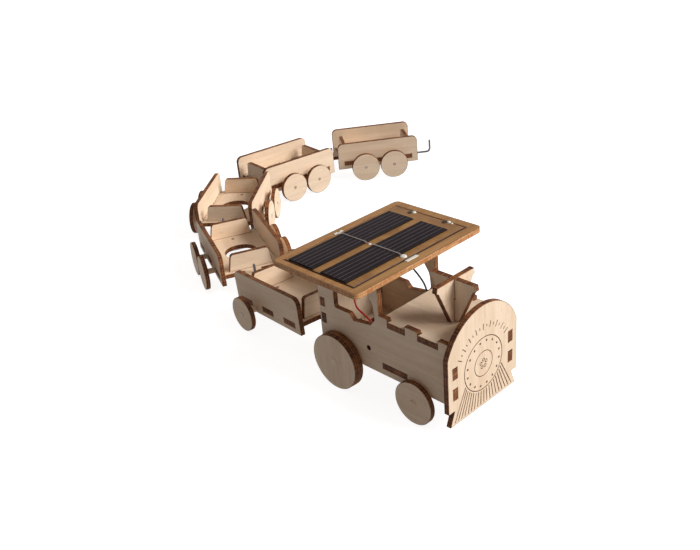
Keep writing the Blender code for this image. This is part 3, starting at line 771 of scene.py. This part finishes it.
def ribbon_and_contacts(top):
    """Tinned ribbon over the cells, solder beads, edge clips and the two terminals."""
    low, high = local("loco_cell_ribbon")
    cell_top = local("loco_cell_row_front")[1].z
    y = (low.y + high.y) / 2
    over_cells = cell_top + 0.2
    half_wide, half_thick = 0.5, 0.1
    path = [(low.x, top + 0.15), (low.x + 0.8, over_cells), (-99.2, over_cells), (-97.0, top + 0.25),
            (-92.0, top + 0.25), (-89.6, over_cells), (-66.4, over_cells), (-64.6, top + 0.3),
            (-60.0, top + 0.3)]
    strip = bmesh.new()
    rows = []
    for x, z in path:
        section = box(y - half_wide, z - half_thick, y + half_wide, z + half_thick)
        rows.append([strip.verts.new((x, *corner)) for corner in section])
    for first, second in zip(rows, rows[1:]):
        for i in range(4):
            strip.faces.new((first[i], first[i - 1], second[i - 1], second[i]))
    strip.faces.new(rows[0])
    strip.faces.new(rows[-1])
    piece("loco_ribbon_strip", mesh_from(strip, "ribbon"), "ribbon", LOCO, "loco", "loco_cell_ribbon")
    beads = {
        "front": (-62.4, y - 0.3, 2.6, 1.2), "middle": (-94.5, y, 1.3, 0.7),
        "rear": (-125.6, y, 1.4, 0.7), "left_a": (-106.0, 52.8, 1.7, 1.2),
        "left_b": (-73.2, 54.2, 1.5, 1.1), "left_c": (-70.0, 53.6, 1.0, 0.8),
    }
    for name, (x, bead_y, radius, height) in beads.items():
        piece(f"loco_solder_{name}", dome(radius, height), "tin", LOCO @ shift(x, bead_y, top), "loco")
    rear = ROOF_LOW.x + 4.7
    clips = {"front": (-57.2, -11.4, -54.7, 0.2), "rear_a": (rear, -10.0, rear + 2, -6.2),
             "rear_b": (rear, -4.6, rear + 2, -1.6)}
    clip_top, pad_top = ROOF_HIGH.z + 0.5, top + 0.3
    for name, corners in clips.items():
        slab(f"loco_clip_{name}", box(*corners), "tin", ROOF_HIGH.z, clip_top, arris=(0.15, 0.05), scorch_and_shade_width=0.1)
    for name, x, pad_y in (("a", -108.6, 51.0), ("b", -76.4, 52.6)):
        pad = circle((x, pad_y), 2.0, 24)
        slab(f"loco_terminal_pad_{name}", pad, "black", top, pad_top, arris=(0.08, 0), scorch_and_shade_width=0.1)


# ---------------------------------------------------------------- running gear
SMALL_GROOVE, BIG_GROOVE = 3.0, 9.0      # radii at the bottoms of the pulleys' grooves
BELT = 0.6                               # radius of the belt's section
BELT_PLAY = 0.15                         # between the belt and a groove's bottom


def wheel(radius, pin):
    """One plywood disc in its own XY plane, with its axle hole."""
    return cut_sheet(circle((0, 0), radius, 96), [circle((0, 0), pin + 0.15, 20)], arris=(0.22, 0.22))


def rod(radius, half_length):
    """An axle along its own Z axis with chamfered ends."""
    chamfer = 0.3
    return lathe([(0, half_length), (radius - chamfer, half_length), (radius, half_length - chamfer),
                  (radius, chamfer - half_length), (radius - chamfer, -half_length), (0, -half_length)], 24)


def hub_cap(radius, height):
    """A low turned cap that hides the axle's end."""
    return lathe([(0, 0), (radius, 0), (radius, height * 0.35), (radius * 0.86, height * 0.8),
                  (radius * 0.55, height), (0, height * 1.02)], 28)


def loco_wheels():
    """Two laminated rear wheels and two single front wheels, with their axles and caps.

    Each set has its axle's place, its discs' middles and radii, and its caps' height and radius.
    """
    sets = {
        "rear": (REAR_AXLE, (35.0, 39.15), (22.3, 22.1), 1.0, 3.4),
        "front": (FRONT_AXLE, (35.4,), (16.6,), 1.5, 2.9),
    }
    for name, ((x, z), layers, radii, cap_height, cap_radius) in sets.items():
        body = f"loco_{name}_axle"
        at = LOCO @ shift(x, 0, z)
        outer = layers[-1] + PLY / 2
        piece(f"loco_{name}_axle_rod", rod(LOCO_PIN, outer), "axle", at @ upright_along_x(), body,
              f"loco_{name}_wheelset")
        for side, sign in (("right", -1), ("left", 1)):
            for i, (y, radius) in enumerate(zip(layers, radii)):
                turn = Matrix.Rotation(math.radians(90 * i), 4, "Z")
                disc_at = at @ upright_along_x(sign * y) @ turn
                piece(f"loco_{name}_wheel_{side}_{i + 1}", wheel(radius, LOCO_PIN), "ply_x", disc_at, body)
            cap_turn = Matrix.Rotation(math.radians(90 * sign), 4, "X")
            cap_at = at @ shift(0, sign * outer, 0) @ cap_turn.inverted()
            piece(f"loco_{name}_cap_{side}", hub_cap(cap_radius, cap_height), "ply_y", cap_at, body)


def belt_path():
    """Loop round both pulleys in (x, z): two arcs joined by the outer tangents."""
    small, big = SMALL_GROOVE + BELT + BELT_PLAY, BIG_GROOVE + BELT + BELT_PLAY
    start, end = Vector(MOTOR), Vector(REAR_AXLE)
    line = end - start
    heading = math.degrees(math.atan2(line.y, line.x))
    lean = math.degrees(math.acos((small - big) / line.length))
    around_big = arc(end, big, heading + lean, heading - lean, 30)
    around_small = arc(start, small, heading - lean, heading + lean - 360, 16)
    return around_big + around_small


def pulley(rim, groove, bore):
    """A grooved pulley, its middle at the belt, round its own Z axis."""
    return lathe([(bore, 2), (rim, 2), (rim, 1.5), (groove + 0.35, 0.55), (groove, 0.3), (groove, -0.3),
                  (groove + 0.35, -0.55), (rim, -1.5), (rim, -2), (bore, -2), (bore, 2)], 48)


def drive():
    """Motor with its cap, terminals and pulley, the belt, and the axle's pulley.

    The last points of the can's profile are the bore round the shaft.
    """
    across = upright_along_x()
    motor_at = LOCO @ shift(MOTOR[0], 0, MOTOR[1]) @ across
    can = lathe([(0, 15.5), (7.0, 15.5), (7.4, 15.1), (7.4, -3.2), (7.1, -3.7), (6.5, -4), (2.6, -4),
                 (2.5, -4.3), (2.5, -5.1), (1.1, -5.2), (1.1, -4.4), (0, -4.4)], 48)
    piece("loco_motor_case", can, "can", motor_at, "loco", "loco_motor")
    cap = lathe([(0, 18.4), (3.0, 18.4), (3.2, 17.6), (6.4, 17.5), (6.9, 17.0), (6.9, 15.4), (0, 15.4)], 48)
    piece("loco_motor_cap", cap, "nylon", motor_at, "loco")
    for name, x, z in (("a", 2.5, 3.6), ("b", -3.0, 0.6)):
        tag_outline = filleted([(point, 0.5) for point in box(-0.9, -1.6, 0.9, 1.6)], 3)
        tag = cut_sheet(tag_outline, (), 0.4, (0.1, 0.1), 0.1)
        tag_at = LOCO @ shift(MOTOR[0] + x, -19.2, MOTOR[1] + z)
        piece(f"loco_motor_tag_{name}", tag, "brass", tag_at, "loco")
    shaft = rod(0.8, 4.6)
    piece("loco_motor_spindle", shaft, "axle", motor_at @ shift(z=-9.4), "motor_shaft", "loco_motor_pulley")
    small_at = motor_at @ shift(z=-BELT_Y)
    piece("loco_small_pulley", pulley(4.6, SMALL_GROOVE, 0.8), "nylon", small_at, "motor_shaft")
    big_at = LOCO @ shift(REAR_AXLE[0], 0, REAR_AXLE[1]) @ across @ shift(z=-BELT_Y)
    piece("loco_big_pulley", pulley(10.6, BIG_GROOVE, LOCO_PIN), "nylon", big_at, "loco_rear_axle")
    belt = wire([(x, BELT_Y, z) for x, z in belt_path()], BELT, cyclic=True)
    piece("loco_belt", belt, "rubber", LOCO, "loco", "loco_drive_belt")


# Routes of the two leads, from the roof's underside to the motor's terminals
LEAD_ROUTES = {
    "red": ((-97, -14, 103.5), (-98, -17, 94), (-99, -21.5, 80), (-95, -24.6, 67), (-87, -25, 62.3),
            (-79.5, -24.6, 58), (-76, -22.5, 50), (-75, -21, 45)),
    "black": ((-97, 12, 103.5), (-92, 18, 93), (-82, 23.5, 80), (-72.5, 24.6, 69), (-69, 21, 61),
              (-71, 8, 56.5), (-76, -8, 54), (-80, -18.5, 52), (-81, -22, 47.5), (-80.5, -21.5, 42)),
}


def smooth_path(knots, spacing):
    """Points about one spacing apart on a Catmull-Rom curve through the knots."""
    knots = [Vector(k) for k in knots]
    ends = [2 * knots[0] - knots[1], *knots, 2 * knots[-1] - knots[-2]]
    points = [tuple(knots[0])]
    for a, b, c, d in zip(ends, ends[1:], ends[2:], ends[3:]):
        steps = max(1, round((c - b).length / spacing))
        for i in range(1, steps + 1):
            t = i / steps
            point = (2 * b + (c - a) * t + (2 * a - 5 * b + 4 * c - d) * t**2
                     + (3 * b - a - 3 * c + d) * t**3) / 2
            points.append(tuple(point))
    return points


def leads():
    """The motor's red and black leads."""
    for name, route in LEAD_ROUTES.items():
        lead = wire(smooth_path(route, 1.5), 0.7)
        piece(f"loco_wire_{name}", lead, name, LOCO, "loco", f"loco_lead_{name}")


def hook(name, at, start, end, bends):
    """Wire of a vehicle: down from start in its floor, (x, z), level to end, (x, y), and up to its tip."""
    low, high = size(f"{name}_hook")
    run = low.z + HOOK_WIRE
    x, z = start
    route = [((x, 0, z), 0), ((x, 0, run), bends[0]), ((*end, run), bends[1]), ((*end, high.z), 0)]
    bent = wire(filleted(route, closed=False), HOOK_WIRE)
    piece(f"{name}_hook_wire", bent, "wire", at, name, f"{name}_hook")


def loco_hook():
    """The hook behind the locomotive, from its floor to the first wagon's tongue."""
    hitch = Vector(JOINTS["wagon_1_coupling"]["pos_m"]) / MM - LOCO_AT
    hook("loco", LOCO, LOCO_HOOK, hitch.xy, (3, HOOK_BEND))


# ---------------------------------------------------------------- wagons
def wagon_frame(number, axle):
    """The wagon's level frame, from its rear axle's joint; axle is where that axle lies along it."""
    joint = JOINTS[f"wagon_{number}_rear_axle_spin"]
    at = Vector(joint["pos_m"])
    left = Vector(joint["axis"])
    ahead = Vector((left.y, -left.x, 0))
    turn = Matrix((ahead, left, Vector((0, 0, 1)))).transposed().to_4x4()
    return Matrix.Translation((at.x, at.y, 0)) @ turn @ shift(-axle)


def wagon_side(axles, rise):
    """Side panel in (u, z)."""
    top = WAGON_TOP + rise
    corners = [((-WAGON_HALF, WAGON_BOTTOM), 0), ((WAGON_HALF, WAGON_BOTTOM), 0),
               ((WAGON_HALF, top), 6), ((-WAGON_HALF, top), 6)]
    holes = [circle((u, WAGON_WHEEL), PIN + AXLE_PLAY, 16) for u in axles]
    for low, high in FLOOR_TABS:
        holes.append(box(low - GAP, WAGON_FLOOR[0] - GAP, high + GAP, WAGON_FLOOR[1] + GAP))
    return cut_sheet(filleted(corners, 8), holes)


def wagon_floor(pierced):
    """Floor in (u, v) with its side tabs and tongue, and a round opening if it is pierced."""
    wide = WAGON_SIDE_Y - PLY / 2 - GAP
    outer = WAGON_SIDE_Y + PLY / 2
    end, tongue, opening = 43.5, 8.0, 15.0
    right = tabbed_edge(-end, end, FLOOR_TABS, wide, outer) + [(end, -tongue)]
    nose = arc((TONGUE - 2, 0), tongue, -90, 90, 20)
    outline = right + nose + [(u, -v) for u, v in reversed(right)]
    holes = [circle((TONGUE, 0), 2.2, 24), circle((HOOK_ROOT, 0), HOOK_WIRE + 0.05, 20)]
    if pierced:
        holes.append(circle((1.5, 0), opening, 72))
    return cut_sheet(outline, holes)


def wagon_end(rise):
    """Low end panel in (v, z)."""
    foot, top, low, high = 20.4, 17.4, WAGON_FLOOR[1] + 0.05, END_TOP + rise
    corners = [((-foot, low), 0), ((foot, low), 0), ((top, high), 3), ((-top, high), 3)]
    return cut_sheet(filleted(corners, 8))


def wagon_body(name, at, axles, rise, pierced):
    """Side panels, end panels and floor of one wagon."""
    for side, sign in (("right", -1), ("left", 1)):
        side_at = at @ upright_along_x(sign * WAGON_SIDE_Y)
        piece(f"{name}_panel_{side}", wagon_side(axles, rise), "ply_x", side_at, name, f"{name}_side_{side}")
    for end, sign in (("rear", -1), ("front", 1)):
        end_at = at @ upright_along_y(sign * END_PANEL)
        piece(f"{name}_board_{end}", wagon_end(rise), "ply_x", end_at, name, f"{name}_end_{end}")
    piece(f"{name}_bed", wagon_floor(pierced), "ply_x", at @ lying(*WAGON_FLOOR), name, f"{name}_floor")


def spacer(length):
    """A ring between a wagon's side and its wheel, round its own Z axis from 0 up."""
    radius, chamfer = 2.6, 0.3
    return lathe([(PIN, length), (radius - chamfer, length), (radius, length - chamfer), (radius, chamfer),
                  (radius - chamfer, 0), (PIN, 0), (PIN, length)], 24)


def wagon_wheels(prefix, at, radius, wheel_y):
    """One axle with its two wheels and their spacer rings; at is the axle's middle."""
    body = f"{prefix}_axle"
    outer = wheel_y + PLY / 2
    inner = WAGON_SIDE_Y + PLY / 2 + GAP
    axle_at = at @ upright_along_x()
    piece(f"{prefix}_axle_rod", rod(PIN, outer + 0.5), "axle", axle_at, body, f"{prefix}_wheelset")
    length = wheel_y - PLY / 2 - inner
    for side, sign in (("right", -1), ("left", 1)):
        wheel_at = at @ upright_along_x(sign * wheel_y)
        piece(f"{prefix}_wheel_{side}", wheel(radius, PIN), "ply_x", wheel_at, body)
        foot = -inner if side == "right" else inner + length
        piece(f"{prefix}_spacer_{side}", spacer(length), "ply_y", at @ upright_along_x(foot), body)


def wagon(number, reach=REACH, bend=HOOK_BEND):
    """A level wagon with two axles; the last one's free hook has a reach and a bend of its own."""
    name = f"wagon_{number}"
    at = wagon_frame(number, -WAGON_AXLE)
    wagon_body(name, at, (WAGON_AXLE, -WAGON_AXLE), 0.0, pierced=True)
    for place, u in (("front", WAGON_AXLE), ("rear", -WAGON_AXLE)):
        wagon_wheels(f"{name}_{place}", at @ shift(u, 0, WAGON_WHEEL), WAGON_WHEEL, WAGON_WHEEL_Y)
    hook(name, at, (HOOK_ROOT, WAGON_FLOOR[1]), (-reach, 0), (HOOK_BEND, bend))


def tender():
    """The first wagon: a body leaning back on one axle."""
    at = wagon_frame(1, TENDER_AXLE)
    radius = size("wagon_1_rear_wheelset")[1].z / 2
    axle = at @ shift(TENDER_AXLE, 0, radius)
    lean = Matrix.Rotation(math.radians(-TENDER_PITCH), 4, "Y")
    body = axle @ lean @ shift(-TENDER_AXLE, 0, -WAGON_WHEEL)
    wagon_body("wagon_1", body, (TENDER_AXLE,), TENDER_RISE, pierced=False)
    wagon_wheels("wagon_1_rear", axle, radius, TENDER_WHEEL_Y)
    root = at.inverted() @ body @ (Vector((HOOK_ROOT, 0, WAGON_FLOOR[1])) * MM) / MM
    hook("wagon_1", at, (root.x, root.z), (-REACH, 0), (HOOK_BEND, HOOK_BEND))


# ---------------------------------------------------------------- studio
CAMERA_AT = Vector((0.3020, -0.3862, 0.3682))    # in metres from the locomotive's origin
CAMERA_TURN = (61.06, 4.313, 44.956)             # in degrees
LENS, SENSOR = 44.37, 36.0
LENS_SHIFT = (-0.0137, 0.0330)
WHITE = (1, 1, 1, 1)
FLOOR_GREY = (0.4, 0.4, 0.4, 1)
WARM_ROOM = (1.0, 0.92, 0.86, 1)
WARM_LIGHT = (1.0, 0.985, 0.96)


def studio():
    """Pale floor, a soft key from ahead and to the left, a weak fill from behind, and the camera."""
    scene = bpy.context.scene
    scene.view_settings.view_transform = "Standard"
    flat, bend = 2200, 1100
    mesh = lathe([(0, 0), *arc((flat, bend), bend, -90, 0, 24)], 96)
    floor = bpy.data.objects.new("studio_floor", mesh)
    floor.visible_diffuse = False
    floor.visible_shadow = False
    paper = Graph("floor_paper", 0.9, Emission_Color=WHITE, Emission_Strength=0.88)
    paper.feed(paper.shader, "Base Color", FLOOR_GREY)
    mesh.materials.append(paper.material)
    scene.collection.objects.link(floor)
    scene.world = surroundings(level=0.23, slope=0.12)
    soft_light("key", azimuth=32, elevation=33, spread=36, strength=3.9)
    soft_light("fill", azimuth=180, elevation=35, spread=50, strength=0.3)
    lens = bpy.data.cameras.new("camera")
    lens.lens = LENS
    lens.sensor_width = SENSOR
    lens.shift_x, lens.shift_y = LENS_SHIFT
    camera = bpy.data.objects.new("camera", lens)
    camera.location = LOCO @ CAMERA_AT
    camera.rotation_euler = [math.radians(angle) for angle in CAMERA_TURN]
    scene.collection.objects.link(camera)
    scene.camera = camera


def surroundings(level, slope):
    """A warm dim room whose light grows from behind the locomotive to ahead of it."""
    world = bpy.data.worlds.new("studio")
    world.use_nodes = True
    tree = world.node_tree
    direction = tree.nodes.new("ShaderNodeTexCoord")
    parts = tree.nodes.new("ShaderNodeSeparateXYZ")
    strength = tree.nodes.new("ShaderNodeMath")
    strength.operation = "MULTIPLY_ADD"
    strength.inputs[1].default_value = slope
    strength.inputs[2].default_value = level
    background = tree.nodes["Background"]
    background.inputs["Color"].default_value = WARM_ROOM
    tree.links.new(direction.outputs["Generated"], parts.inputs["Vector"])
    tree.links.new(parts.outputs["X"], strength.inputs[0])
    tree.links.new(strength.outputs[0], background.inputs["Strength"])
    return world


def soft_light(name, azimuth, elevation, spread, strength):
    """A broad distant light; its direction and apparent size are in degrees."""
    lamp = bpy.data.lights.new(name, "SUN")
    lamp.angle = math.radians(spread)
    lamp.energy = strength
    lamp.color = WARM_LIGHT
    made = bpy.data.objects.new(name, lamp)
    made.rotation_euler = (math.radians(90 - elevation), 0, math.radians(azimuth + 90))
    bpy.context.scene.collection.objects.link(made)


studio()
side_panels()
front_plate()
loco_floor()
hood_deck()
rear_wall()
chimney()
roof()
loco_wheels()
drive()
leads()
loco_hook()
tender()
for wagon_number in range(2, 5):
    wagon(wagon_number)
wagon(5, *LAST_HOOK)

bpy.context.view_layer.update()
